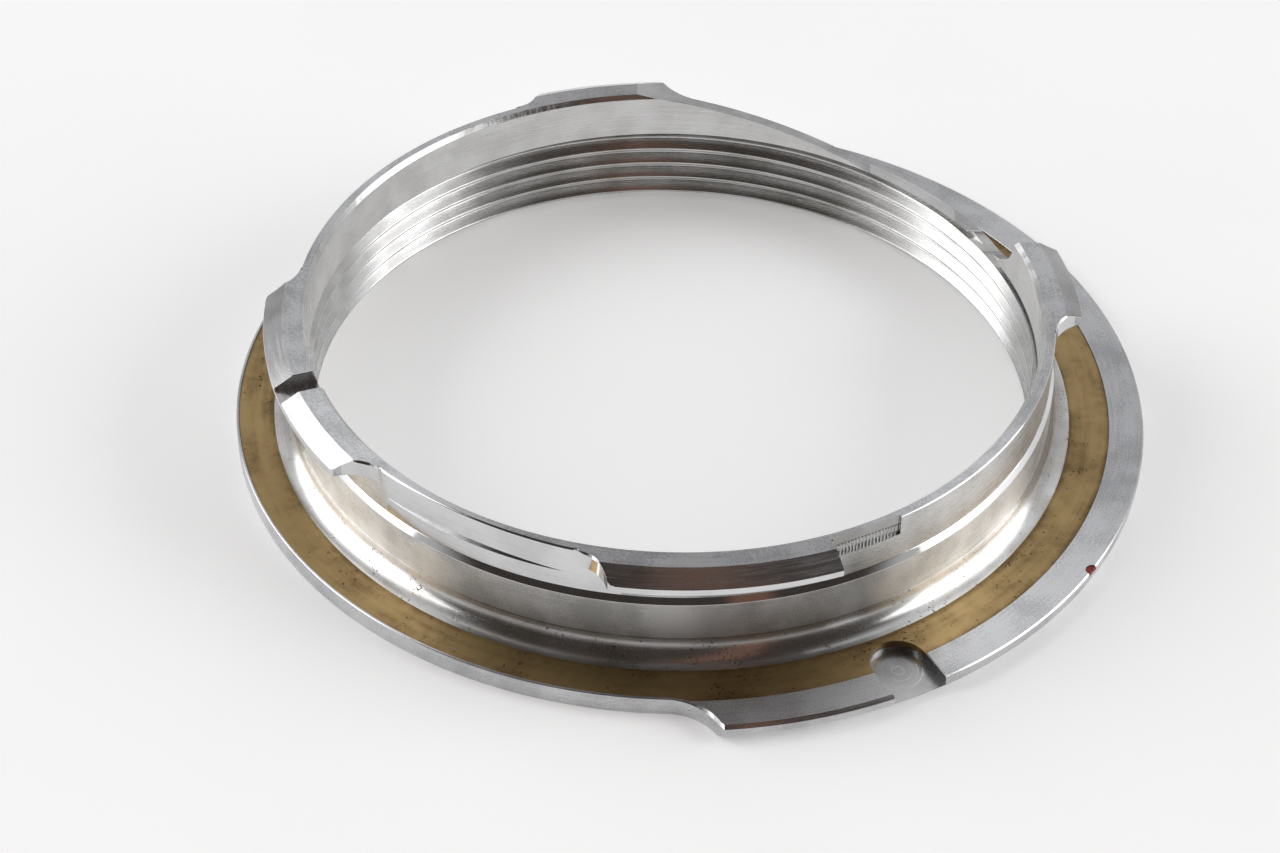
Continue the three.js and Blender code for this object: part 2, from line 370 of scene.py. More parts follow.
class Wiring:
    """Lays out the nodes of a material or a room."""

    def __init__(self, owner: bpy.types.Material | bpy.types.World) -> None:
        """Starts with an empty tree.

        Args:
            owner: the material or the world that the nodes belong to.
        """
        owner.use_nodes = True
        self.tree = owner.node_tree
        self.tree.nodes.clear()

    def add(self, kind: str, **settings: object) -> bpy.types.Node:
        """Adds a node and sets its properties.

        Args:
            kind: the node's type.
            **settings: its properties.

        Returns:
            The node.
        """
        node = self.tree.nodes.new(kind)
        for key, value in settings.items():
            setattr(node, key, value)
        return node

    def join(self, source: bpy.types.NodeSocket, target: bpy.types.NodeSocket) -> None:
        """Links two sockets."""
        self.tree.links.new(source, target)

    def feed(self, target: bpy.types.NodeSocket, value: object) -> None:
        """Links a socket to a target, or sets the target to a plain value.

        Args:
            target: an input socket.
            value: an output socket or a plain value.
        """
        if isinstance(value, bpy.types.NodeSocket):
            self.join(value, target)
        else:
            target.default_value = value

    def sum(self, way: str, *values: object) -> bpy.types.NodeSocket:
        """Joins numbers with a Math node.

        Args:
            way: the operation.
            *values: sockets or numbers.

        Returns:
            The result.
        """
        node = self.add("ShaderNodeMath", operation=way)
        for target, value in zip(node.inputs, values):
            self.feed(target, value)
        return node.outputs[0]

    def vector(self, way: str, *values: object) -> bpy.types.Node:
        """Joins vectors with a Vector Math node.

        Args:
            way: the operation.
            *values: sockets, vectors or a scale.

        Returns:
            The node.
        """
        node = self.add("ShaderNodeVectorMath", operation=way)
        slots = [s for s in node.inputs if s.name != "Scale"]
        if way == "SCALE":
            slots = [node.inputs[0], node.inputs["Scale"]]
        for target, value in zip(slots, values):
            self.feed(target, value)
        return node

    def ramp(
        self, source: object, low: float, high: float, start: float = 0.0, end: float = 1.0
    ) -> bpy.types.NodeSocket:
        """Maps a range of numbers smoothly on to another.

        Args:
            source: the socket that is mapped.
            low: input that gives start.
            high: input that gives end.
            start: output at low.
            end: output at high.

        Returns:
            The mapped socket.
        """
        node = self.add("ShaderNodeMapRange", interpolation_type="SMOOTHSTEP")
        for key, value in zip((0, 1, 2, 3, 4), (source, low, high, start, end)):
            self.feed(node.inputs[key], value)
        return node.outputs[0]

    def blend(self, share: object, first: object, second: object) -> bpy.types.NodeSocket:
        """Mixes two colours.

        Args:
            share: how much of the second there is.
            first: a colour or socket.
            second: a colour or socket.

        Returns:
            The mixed colour.
        """
        node = self.add("ShaderNodeMix", data_type="RGBA")
        for key, value in zip((0, 6, 7), (share, first, second)):
            self.feed(node.inputs[key], value)
        return node.outputs[2]

    def bump(
        self, height: bpy.types.NodeSocket, depth: float, below: object = None
    ) -> bpy.types.NodeSocket:
        """Raises a surface.

        Args:
            height: the height, from 0 to 1.
            depth: what a height of 1 stands for, in micrometres.
            below: the normal that this one is laid over.

        Returns:
            The new normal.
        """
        node = self.add("ShaderNodeBump")
        node.inputs["Strength"].default_value = 1.0
        node.inputs["Distance"].default_value = depth * 1e-6
        self.join(height, node.inputs["Height"])
        if below is not None:
            self.join(below, node.inputs["Normal"])
        return node.outputs[0]


class SurfaceWiring(Wiring):
    """Lays out one material's nodes."""

    def __init__(self, name: str) -> None:
        """Starts a material with a Principled shader.

        Args:
            name: the material's name.
        """
        self.material = bpy.data.materials.new(name)
        super().__init__(self.material)
        self.shader = self.add("ShaderNodeBsdfPrincipled")
        end = self.add("ShaderNodeOutputMaterial")
        self.join(self.shader.outputs[0], end.inputs["Surface"])
        self.place = self.add("ShaderNodeTexCoord").outputs["Object"]

    def put(self, **inputs: object) -> None:
        """Feeds the shader's inputs, with an underscore for each space in a name."""
        for name, value in inputs.items():
            self.feed(self.shader.inputs[name.replace("_", " ")], value)

    def sheen(self, strength: float) -> None:
        """Draws the shine out across the turning lines."""
        along = self.add("ShaderNodeTangent", direction_type="UV_MAP", uv_map="turning")
        self.put(Anisotropic=strength, Anisotropic_Rotation=0.25, Tangent=along.outputs[0])

    def noise(self, scale: float, detail: float = 2.0) -> bpy.types.NodeSocket:
        """Lays plain three-way noise.

        Args:
            scale: features to a metre.
            detail: octaves.

        Returns:
            A height from 0 to 1.
        """
        node = self.add("ShaderNodeTexNoise")
        node.inputs["Scale"].default_value = scale
        node.inputs["Detail"].default_value = detail
        self.join(self.place, node.inputs["Vector"])
        return node.outputs[0]

    def radius(self) -> bpy.types.NodeSocket:
        """Distance from the axis in metres."""
        flat = self.vector("MULTIPLY", self.place, (1.0, 1.0, 0.0)).outputs[0]
        return self.vector("LENGTH", flat).outputs[1]

    def marks(self, lay: Lay, pitch: float, run: float) -> bpy.types.NodeSocket:
        """Noise drawn out along the tool marks.

        Args:
            lay: the way that the marks run.
            pitch: spacing of the marks, mm.
            run: how many stretches a mark breaks into, round one radian.

        Returns:
            A height from 0 to 1.
        """
        fine = 1.0 / (pitch * MM)
        node = self.add("ShaderNodeTexNoise")
        node.inputs["Scale"].default_value = 1.0
        node.inputs["Detail"].default_value = 3.0
        node.inputs["Roughness"].default_value = 0.62
        if lay is Lay.ROUND:
            node.noise_dimensions = "4D"
            flat = self.vector("MULTIPLY", self.place, (1.0, 1.0, 0.0)).outputs[0]
            unit = self.vector("NORMALIZE", flat).outputs[0]
            round_it = self.vector("MULTIPLY", unit, (run, run, 0.0)).outputs[0]
            up = self.vector("MULTIPLY", self.place, (0.0, 0.0, fine)).outputs[0]
            self.join(self.vector("ADD", round_it, up).outputs[0], node.inputs["Vector"])
            self.join(self.sum("MULTIPLY", self.radius(), fine), node.inputs["W"])
        elif lay is Lay.ARCS:
            node.noise_dimensions = "4D"
            centre = polar(NOTCH_CENTRE, NOTCH_ANGLE) * MM
            away = self.vector("DISTANCE", self.place, tuple(centre)).outputs[1]
            slow = self.vector("SCALE", self.place, 260.0).outputs[0]
            self.join(slow, node.inputs["Vector"])
            self.join(self.sum("MULTIPLY", away, fine), node.inputs["W"])
        else:
            along = polar(1.0, FLAT_ANGLE + 90)
            side = self.vector("DOT_PRODUCT", self.place, tuple(along)).outputs[1]
            self.join(self.vector("SCALE", self.place, 900.0).outputs[0], node.inputs["Vector"])
            phase = self.sum("MULTIPLY", side, 2 * math.pi * fine)
            phase = self.sum("ADD", phase, self.sum("MULTIPLY", node.outputs[0], 3.0))
            ticks = self.ramp(self.sum("SINE", phase), -1.0, 0.4)
            up = self.vector("DOT_PRODUCT", self.place, (0.0, 0.0, 1.0)).outputs[1]
            lower = self.ramp(up, TICK_TOPS[0] * MM, TICK_TOPS[1] * MM, 1.0, 0.0)
            return self.sum("SUBTRACT", 1.0, self.sum("MULTIPLY", lower, ticks))
        return node.outputs[0]


@dataclass(frozen=True)
class Finish:
    """A machined and plated surface.

    Pitch and grain are in mm, depths in micrometres and scales in features to a metre.
    """

    name: str
    colour: Tone
    shade: Tone
    roughness: float
    spread: float = 0.08
    lay: Lay = Lay.ROUND
    pitch: float = 0.08
    depth: float = 0.8
    run: float = 5.0
    grain: float = 0.1
    grain_depth: float = 0.4
    anisotropy: float = 0.0
    speckle: float = 0.2
    specks: float = 0.0
    dirt: Tone = (0.20, 0.19, 0.17)
    cloud_scale: float = 420.0
    dirt_scale: float = 8200.0
    patch_scale: float = 900.0

    def material(self) -> bpy.types.Material:
        """The finish's material, made once and then shared."""
        return bpy.data.materials.get(self.name) or self.build()

    def tone(self, wiring: SurfaceWiring, share: bpy.types.NodeSocket) -> bpy.types.NodeSocket:
        """The finish's colour, with a share of its shade."""
        return wiring.blend(share, (*self.colour, 1.0), (*self.shade, 1.0))

    def build(self) -> bpy.types.Material:
        """Lays out the nodes: tool marks, grain, cloudy shading and specks of dirt.

        Returns:
            The material.
        """
        wiring = SurfaceWiring(self.name)
        marks = wiring.marks(self.lay, self.pitch, self.run)
        grain = wiring.noise(1.0 / (self.grain * MM), 2.0)
        cloud = wiring.noise(self.cloud_scale, 4.0)
        mottle = wiring.sum("ADD", cloud, wiring.sum("MULTIPLY", marks, 0.35))
        uneven = wiring.sum("MULTIPLY", wiring.sum("SUBTRACT", grain, 0.5), self.speckle)
        mottle = wiring.sum("ADD", mottle, uneven)
        tone = self.tone(wiring, wiring.ramp(mottle, 0.52, 0.9))
        half = self.spread / 2
        rough = wiring.ramp(marks, 0.3, 0.7, self.roughness - half, self.roughness + half)
        if self.specks > 0:
            dirt = wiring.noise(self.dirt_scale, 1.0)
            patch = wiring.noise(self.patch_scale, 2.0)
            dots = wiring.sum("ADD", dirt, wiring.sum("MULTIPLY", patch, 0.5))
            dots = wiring.ramp(dots, 1.03 - self.specks, 1.07 - self.specks)
            tone = wiring.blend(dots, tone, (*self.dirt, 1.0))
            rough = wiring.sum("ADD", rough, wiring.sum("MULTIPLY", dots, 0.35))
        normal = wiring.bump(grain, self.grain_depth, wiring.bump(marks, self.depth))
        wiring.put(Base_Color=tone, Roughness=rough, Metallic=1.0, Normal=normal)
        if self.anisotropy > 0:
            wiring.sheen(self.anisotropy)
        return wiring.material


@dataclass(frozen=True)
class BrassFinish(Finish):
    """Bare brass, worn by the camera's springs and darkened where nothing rubs it, with painted
    shade along its edges.
    """

    inner: float = 21.15
    outer: float = 23.25
    pit: Tone = (0.07, 0.045, 0.025)
    pit_depth: float = 2.0
    cloud_scale: float = 330.0
    pit_scale: float = 5200.0
    mottle_scale: float = 1700.0
    grain_scale: float = 9000.0

    def build(self) -> bpy.types.Material:
        """Lays out the nodes: rubbed track, brown tarnish, painted shade along the edges, pits and
        turning lines.

        Returns:
            The material.
        """
        wiring = SurfaceWiring(self.name)
        marks = wiring.marks(Lay.ROUND, self.pitch, self.run)
        broad = wiring.marks(Lay.ROUND, 0.5, 2.2)
        cloud = wiring.noise(self.cloud_scale, 8.0)
        fine = wiring.noise(self.pit_scale, 3.0)
        mottle = wiring.noise(self.mottle_scale, 5.0)
        radius = wiring.radius()
        # Painted shade: the band darkens towards its inner and outer edges, where it meets the
        # cove and the flange's wall.
        inner_edge_shade = wiring.ramp(radius, self.inner * MM, (self.inner + 0.35) * MM, 1.0, 0.0)
        outer_edge_shade = wiring.ramp(radius, (self.outer - 0.5) * MM, self.outer * MM, 0.0, 1.0)
        edges = wiring.sum("MAXIMUM", inner_edge_shade, outer_edge_shade)
        broad = wiring.sum("MULTIPLY", broad, 0.5)
        tarnish_and_edge_shade = wiring.sum("ADD", wiring.sum("MULTIPLY", cloud, 0.8), broad)
        # The painted edge shade is added to the tarnish here.
        tarnish_and_edge_shade = wiring.sum("ADD", tarnish_and_edge_shade, wiring.sum("MULTIPLY", edges, 0.14))
        uneven = wiring.sum("MULTIPLY", wiring.sum("SUBTRACT", mottle, 0.5), 0.3)
        tarnish_and_edge_shade = wiring.sum("ADD", tarnish_and_edge_shade, uneven)
        tone = self.tone(wiring, wiring.ramp(tarnish_and_edge_shade, 0.50, 0.96))
        pits = wiring.ramp(wiring.sum("ADD", fine, wiring.sum("MULTIPLY", cloud, 0.4)), 0.86, 0.93)
        tone = wiring.blend(pits, tone, (*self.pit, 1.0))
        rough = wiring.ramp(tarnish_and_edge_shade, 0.5, 1.0, self.roughness - 0.05, self.roughness + 0.12)
        rough = wiring.sum("ADD", rough, wiring.sum("MULTIPLY", pits, 0.15))
        normal = wiring.bump(marks, self.depth)
        normal = wiring.bump(wiring.noise(self.grain_scale, 3.0), self.grain_depth, normal)
        normal = wiring.bump(wiring.sum("SUBTRACT", 1.0, pits), self.pit_depth, normal)
        wiring.put(Base_Color=tone, Roughness=rough, Metallic=1.0, Normal=normal)
        wiring.sheen(self.anisotropy)
        return wiring.material


@dataclass(frozen=True)
class EnamelFinish(Finish):
    """Paint laid into a groove."""

    cloud_scale: float = 4200.0
    brush_scale: float = 7000.0
    brush_depth: float = 6.0

    def build(self) -> bpy.types.Material:
        """Lays out the nodes: a dull paint with brush grain and patches.

        Returns:
            The material.
        """
        wiring = SurfaceWiring(self.name)
        cloud = wiring.noise(self.cloud_scale, 3.0)
        tone = self.tone(wiring, wiring.ramp(cloud, 0.35, 0.7))
        rough = wiring.ramp(cloud, 0.3, 0.7, 0.45, 0.6)
        normal = wiring.bump(wiring.noise(self.brush_scale, 2.0), self.brush_depth)
        wiring.put(Base_Color=tone, Roughness=rough, Normal=normal)
        wiring.put(Coat_Weight=0.05, Coat_Roughness=0.3)
        return wiring.material


LAND = Finish(
    "matt_chrome_land", (0.64, 0.645, 0.66), (0.46, 0.465, 0.48), 0.50, 0.12,
    pitch=0.09, depth=1.4, grain=0.1, grain_depth=3.0, anisotropy=0.78, speckle=0.9,
)
SATIN_WALL = Finish(
    "satin_chrome_wall", (0.66, 0.655, 0.64), (0.44, 0.435, 0.42), 0.36, 0.14,
    pitch=0.055, depth=2.8, run=3.0, grain=0.09, grain_depth=0.8, anisotropy=0.88, speckle=0.5,
)
RIM_WALL = Finish(
    "satin_chrome_rim", (0.62, 0.62, 0.63), (0.46, 0.46, 0.47), 0.30, 0.12,
    pitch=0.09, depth=2.2, run=4.0, anisotropy=0.6, speckle=0.5,
)
POLISHED = Finish(
    "polished_chrome", (0.70, 0.705, 0.71), (0.60, 0.60, 0.60), 0.10, 0.05,
    pitch=0.16, depth=0.35, run=3.0, grain=0.2, grain_depth=0.1, anisotropy=0.4,
)
COVE = Finish(
    "polished_chrome_cove", (0.70, 0.70, 0.70), (0.54, 0.52, 0.49), 0.23, 0.08,
    pitch=0.10, depth=0.6, run=2.0, grain=0.12, grain_depth=0.2, anisotropy=0.85, specks=0.08,
)
THREAD = Finish(
    "chrome_thread", (0.68, 0.68, 0.675), (0.52, 0.515, 0.50), 0.26, 0.08,
    pitch=0.07, depth=0.4, run=3.0, grain=0.12, grain_depth=0.3, anisotropy=0.6,
)
BORE = Finish(
    "satin_chrome_bore", (0.69, 0.69, 0.69), (0.57, 0.57, 0.56), 0.26, 0.08,
    pitch=0.09, depth=0.6, run=3.0, anisotropy=0.5,
)
NECK_WALL = Finish(
    "satin_chrome_neck", (0.68, 0.68, 0.675), (0.50, 0.495, 0.48), 0.27, 0.08,
    pitch=0.07, depth=1.6, run=3.0, grain=0.1, grain_depth=0.4, anisotropy=0.85, speckle=0.4,
)
FLANGE_CHAMFER = Finish(
    "satin_chrome_chamfer", (0.64, 0.64, 0.65), (0.48, 0.48, 0.49), 0.28, 0.08,
    pitch=0.12, depth=1.2, run=4.0, grain=0.1, grain_depth=0.5, anisotropy=0.6, speckle=0.4,
)
MILLED = Finish(
    "milled_chrome", (0.58, 0.58, 0.585), (0.40, 0.40, 0.40), 0.24, 0.12,
    pitch=0.12, depth=1.4, run=9.0, grain=0.09, grain_depth=0.8,
)
MILLED_ARCS = Finish(
    "milled_chrome_arcs", (0.50, 0.50, 0.51), (0.34, 0.34, 0.35), 0.32, 0.14, Lay.ARCS,
    pitch=0.10, depth=4.0, grain=0.1, grain_depth=0.8,
)
MILLED_UPRIGHT = Finish(
    "milled_chrome_upright", (0.64, 0.64, 0.64), (0.46, 0.455, 0.44), 0.28, 0.12, Lay.UPRIGHT,
    pitch=0.19, depth=22.0, grain=0.08, grain_depth=0.8,
)
BRASS = BrassFinish(
    "bare_brass_band", (0.43, 0.305, 0.142), (0.18, 0.118, 0.053), 0.43,
    pitch=0.08, depth=1.6, run=4.0, grain_depth=2.2, anisotropy=0.6,
)
ENAMEL = EnamelFinish("red_index_enamel", (0.30, 0.016, 0.014), (0.17, 0.010, 0.010), 0.35)


# ---- Dressing ---------------------------------------------------------------------------------


def map_turning(mesh: bpy.types.Mesh) -> None:
    """Gives a mesh in mm a map whose first axis runs round the ring's own axis.

    Args:
        mesh: the mesh, which gains the map.
    """
    layer = mesh.uv_layers.new(name="turning")
    for face in mesh.polygons:
        middle = math.degrees(math.atan2(face.center.y, face.center.x))
        for index in face.loop_indices:
            point = mesh.vertices[mesh.loops[index].vertex_index].co
            radius = math.hypot(point.x, point.y)
            angle = math.degrees(math.atan2(point.y, point.x))
            around = middle + turn_between(middle, angle)
            layer.data[index].uv = (around / 90.0, (radius - point.z) / 30.0)


def dress(piece: bpy.types.Object, node: str, zoning: Zoning) -> bpy.types.Object:
    """Finishes a piece: materials by face, smooth shading, metres, and its place in the frame.

    Args:
        piece: the object, still in mm.
        node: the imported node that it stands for.
        zoning: gives each face's finish.

    Returns:
        The piece.
    """
    mesh = piece.data
    mesh.materials.clear()
    order: list[str] = []
    for face in mesh.polygons:
        finish = zoning(Spot(face.center.copy(), face.normal.copy()))
        if finish.name not in order:
            order.append(finish.name)
            mesh.materials.append(finish.material())
        face.material_index = order.index(finish.name)
        face.use_smooth = True
    map_turning(mesh)
    mesh.set_sharp_from_angle(angle=math.radians(SMOOTH_ANGLE))
    even = piece.modifiers.new("even", "WEIGHTED_NORMAL")
    even.mode, even.weight, even.keep_sharp = "FACE_AREA", 50, True
    mesh = settle(piece)
    mesh.transform(Matrix.Scale(MM, 4))
    mesh.update()
    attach(piece, "root")
    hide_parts(node)
    counts = (len(mesh.polygons), len(order), count_open_edges(mesh))
    log.info("%s: %d faces, %d finishes, %d open edges", piece.name, *counts)
    return piece


def count_open_edges(mesh: bpy.types.Mesh) -> int:
    """Counts the edges that don't have exactly two faces.

    Args:
        mesh: the mesh.

    Returns:
        The count.
    """
    work = bmesh.new()
    work.from_mesh(mesh)
    loose = sum(1 for edge in work.edges if len(edge.link_faces) != 2)
    work.free()
    return loose


# ---- Shared cutters ---------------------------------------------------------------------------


@dataclass(frozen=True)
class SlotCutter:
    """A straight cutter that runs outwards and flares at the top edge; mm and degrees.

    Its floor and its edge are heights, and its inner and outer ends are distances from the axis.
    """

    angle: float
    width: float
    inner: float
    outer: float
    floor: float
    edge: float
    flare: float = 0.05
    round_end: bool = False

    def outline(self, grow: float) -> list[Vector]:
        """Draws the cutter's outline in plan.

        Args:
            grow: the offset, mm.

        Returns:
            The points, in order.
        """
        half = self.width / 2 + grow
        middle = self.inner + self.width / 2
        if self.round_end:
            points = [Vector((*pair, 0)) for pair in arc(middle, 0.0, half, range(90, 271, 6))]
        else:
            points = [Vector((self.inner - grow, half, 0)), Vector((self.inner - grow, -half, 0))]
        points += [Vector((self.outer, -half, 0)), Vector((self.outer, half, 0))]
        turned = Matrix.Rotation(math.radians(self.angle), 3, "Z")
        return [turned @ p for p in points]

    def build(self) -> bpy.types.Object:
        """Makes the cutter.

        Returns:
            A solid, flared at its edge.
        """
        grown = [0.0, 0.0, self.flare, self.flare * 20]
        heights = [self.floor, self.edge - self.flare, self.edge, self.edge + self.flare * 19]
        return lofted("slot_cutter", [self.outline(g) for g in grown], heights)


@dataclass(frozen=True)
class Cutaway:
    """The long cut in the neck: a slope falling towards +X, a level and a round dip, in mm."""

    level: float = 4.45
    slope_top: float = -2.2
    slope_foot: float = 11.1
    dip_x: float = 15.6
    dip_y: float = 9.0
    dip_radius: float = 3.2
    dip_floor: float = 4.13

    def build(self) -> bpy.types.Object:
        """Makes the cutter.

        Returns:
            A solid: the slope's side view crossed with the dip's end view.
        """
        high, low = OVERHEAD, self.dip_floor - 0.2
        fall = (TOP - self.level) / (self.slope_foot - self.slope_top)
        start = self.slope_top - (high - TOP) / fall
        side = [(start, high), (self.slope_foot, self.level), (self.dip_x, self.level)]
        side += [(self.dip_x, low), (24.0, low), (24.0, high)]
        slope = self.drawn("cutaway", [[(x, y, z) for x, z in side] for y in (0.0, 30.0)])
        centre = self.dip_floor + self.dip_radius
        meets = math.degrees(math.asin((centre - self.level) / self.dip_radius))
        rise = [(self.dip_y - self.dip_radius, high)]
        rise += arc(self.dip_y, centre, self.dip_radius, np.linspace(180.0, 360.0 - meets, 46))
        rise += [(30.0, self.level), (30.0, high)]
        across = self.drawn("cutaway_rise", [[(x, y, z) for y, z in rise] for x in (-25.0, 25.0)])
        carve(slope, [across], Cut.KEEP)
        return slope

    def drawn(self, name: str, ends: list[list[tuple[float, float, float]]]) -> bpy.types.Object:
        """A straight solid between two end outlines."""
        return loops_to_object(name, np.array(ends), False, True)


# ---- Flange, band and index -------------------------------------------------------------------


@dataclass
class Flange:
    """The flange plate with its bare band, lock-pin notch and red index; mm and degrees."""

    radius: float = 25.08
    thickness: float = 1.0
    chamfer: float = 0.18
    chamfer_beyond_notch: float = 0.07
    chamfer_least: float = 0.035
    edge_break: float = 0.018
    undercut: float = 0.42
    band_in: float = 21.15
    band_out: float = 23.25
    band_top: float = 0.93
    band_floor: float = 0.55
    notch: SlotCutter = SlotCutter(NOTCH_ANGLE, 2.9, 21.6, 28.0, 0.35, 1.0, 0.05, True)
    index_angle: float = -32.4
    index_radius: float = 0.37
    index_floor: float = 0.72
    enamel_gap: float = 0.015
    enamel_dish: tuple[tuple[float, float], ...] = (
        (0.0, 0.93), (0.04, 0.955), (0.1, 0.945), (0.18, 0.93), (0.27, 0.92),
    )
    relief: RoundCutter = RoundCutter(23.15, 3.0, 134.5, 269.5)
    band_relief: RoundCutter = RoundCutter(23.01, 3.0, 134.5, 269.5)
    keys: tuple[float, ...] = (129.0, 134.5, 269.5, 275.0)

    def rim(self, degrees: float) -> float:
        """The rim's radius at one angle."""
        return soft_least(self.radius, self.relief.edge(degrees), 0.5)

    def band_rim(self, degrees: float) -> float:
        """The band's outer radius at one angle."""
        return min(self.band_out, self.band_relief.edge(degrees))

    def plate_profile(self, degrees: float) -> Rows:
        """Gives the plate's profile, with the channel for the band.

        Args:
            degrees: angle about the axis.

        Returns:
            Radius and height pairs, in mm.
        """
        rim, band = self.rim(degrees), self.band_rim(degrees)
        share = max(0.0, min(1.0, rim - self.relief.floor))
        before_notch = -40.0 < turn_between(self.notch.angle, degrees) < 0.0
        full = self.chamfer if before_notch else self.chamfer_beyond_notch
        chamfer = self.chamfer_least + (full - self.chamfer_least) * share
        top, fine = self.thickness, self.edge_break
        under = min(self.radius - self.undercut, rim - 0.01)
        foot = 0.02 + max(0.0, rim - under - 0.01)
        return [
            (self.band_in, 0.0),
            (under - 0.02, 0.0),
            (under, 0.008),
            (rim, foot),
            (rim, foot + 0.012),
            (rim, top - chamfer - fine),
            (rim - fine * 0.6, top - chamfer + fine * 0.3),
            (rim - chamfer, top - fine * 0.3),
            (rim - chamfer - fine, top),
            (band + fine, top),
            (band, top - fine),
            (band, self.band_floor),
            (self.band_in, self.band_floor),
        ]

    def band_profile(self, degrees: float) -> Rows:
        """Gives the bare band's profile, its outer edge eased.

        Args:
            degrees: angle about the axis.

        Returns:
            Radius and height pairs, in mm.
        """
        band, top = self.band_rim(degrees), self.band_top
        return [
            (self.band_in, self.band_floor),
            (band, self.band_floor),
            (band, top - 0.02),
            (band - 0.02, top),
            (band - 0.3, top + 0.004),
            (self.band_in, top),
        ]

    def index_cutter(self, radius: float, floor: float) -> bpy.types.Object:
        """Makes the index groove's cutter.

        Args:
            radius: its radius, mm.
            floor: its lowest height, mm.

        Returns:
            The cutter.
        """
        centre = polar(self.radius, self.index_angle)
        outline = [centre + polar(radius, a) for a in range(0, 360, 10)]
        return lofted("index_cutter", [outline, outline], [floor, 2.0])

    def zones(self, spot: Spot) -> Finish:
        """Picks the plate's finish at a face.

        Args:
            spot: the face.

        Returns:
            The finish.
        """
        in_notch = spot.near(polar(NOTCH_CENTRE, self.notch.angle), 2.6) and spot.outward < 0.8
        if in_notch and self.notch.floor - 0.02 < spot.place.z < 0.36 and spot.normal.z > LEVEL:
            return MILLED_ARCS
        if spot.normal.z > LEVEL or spot.normal.z < -0.5:
            return LAND
        if spot.normal.z > 0.25:
            return FLANGE_CHAMFER
        return MILLED if in_notch else RIM_WALL

    def build(self) -> None:
        """Makes and dresses the plate, the band and the enamel."""
        angles = column_angles(0.0, 360.0, 1.0, self.keys)[:-1]
        plate = swept("flange_plate", angles, self.plate_profile, True)
        carve(plate, [self.notch.build(), self.index_cutter(self.index_radius, self.index_floor)])
        dress(plate, "flange", self.zones)
        band = swept("brass_band", angles, self.band_profile, True)
        carve(band, [self.notch.build()])
        dress(band, "bearing_band", lambda spot: BRASS)
        enamel = self.enamel()
        dress(enamel, "index_mark", lambda spot: ENAMEL)

    def enamel(self) -> bpy.types.Object:
        """Makes the enamel in the index groove, dished a little where it dried.

        Returns:
            The object, in mm.
        """
        work = bmesh.new()
        centre = polar(self.radius, self.index_angle)
        full = self.index_radius - self.enamel_gap
        rows = []
        for inset, height in ((0.0, self.index_floor + 0.005), *self.enamel_dish):
            points = [centre + polar(full - inset, a) for a in range(0, 360, 10)]
            rows.append([work.verts.new((p.x, p.y, height)) for p in points])
        for low, high in zip(rows, rows[1:]):
            for i in range(36):
                j = (i + 1) % 36
                work.faces.new((low[i], low[j], high[j], high[i]))
        work.faces.new(rows[-1])
        work.faces.new(list(reversed(rows[0])))
        made = new_object("index_enamel", work)
        r, t = self.radius - 0.03, self.thickness
        ease = self.chamfer_beyond_notch
        inside = [(20.0, 0.0), (r, 0.0), (r, t - ease), (r - ease, t), (20.0, t)]
        keep = swept("enamel_limit", column_angles(0, 360, 2.0)[:-1], lambda a: inside, True)
        carve(made, [keep], Cut.KEEP)
        return made


# ---- Barrel -----------------------------------------------------------------------------------


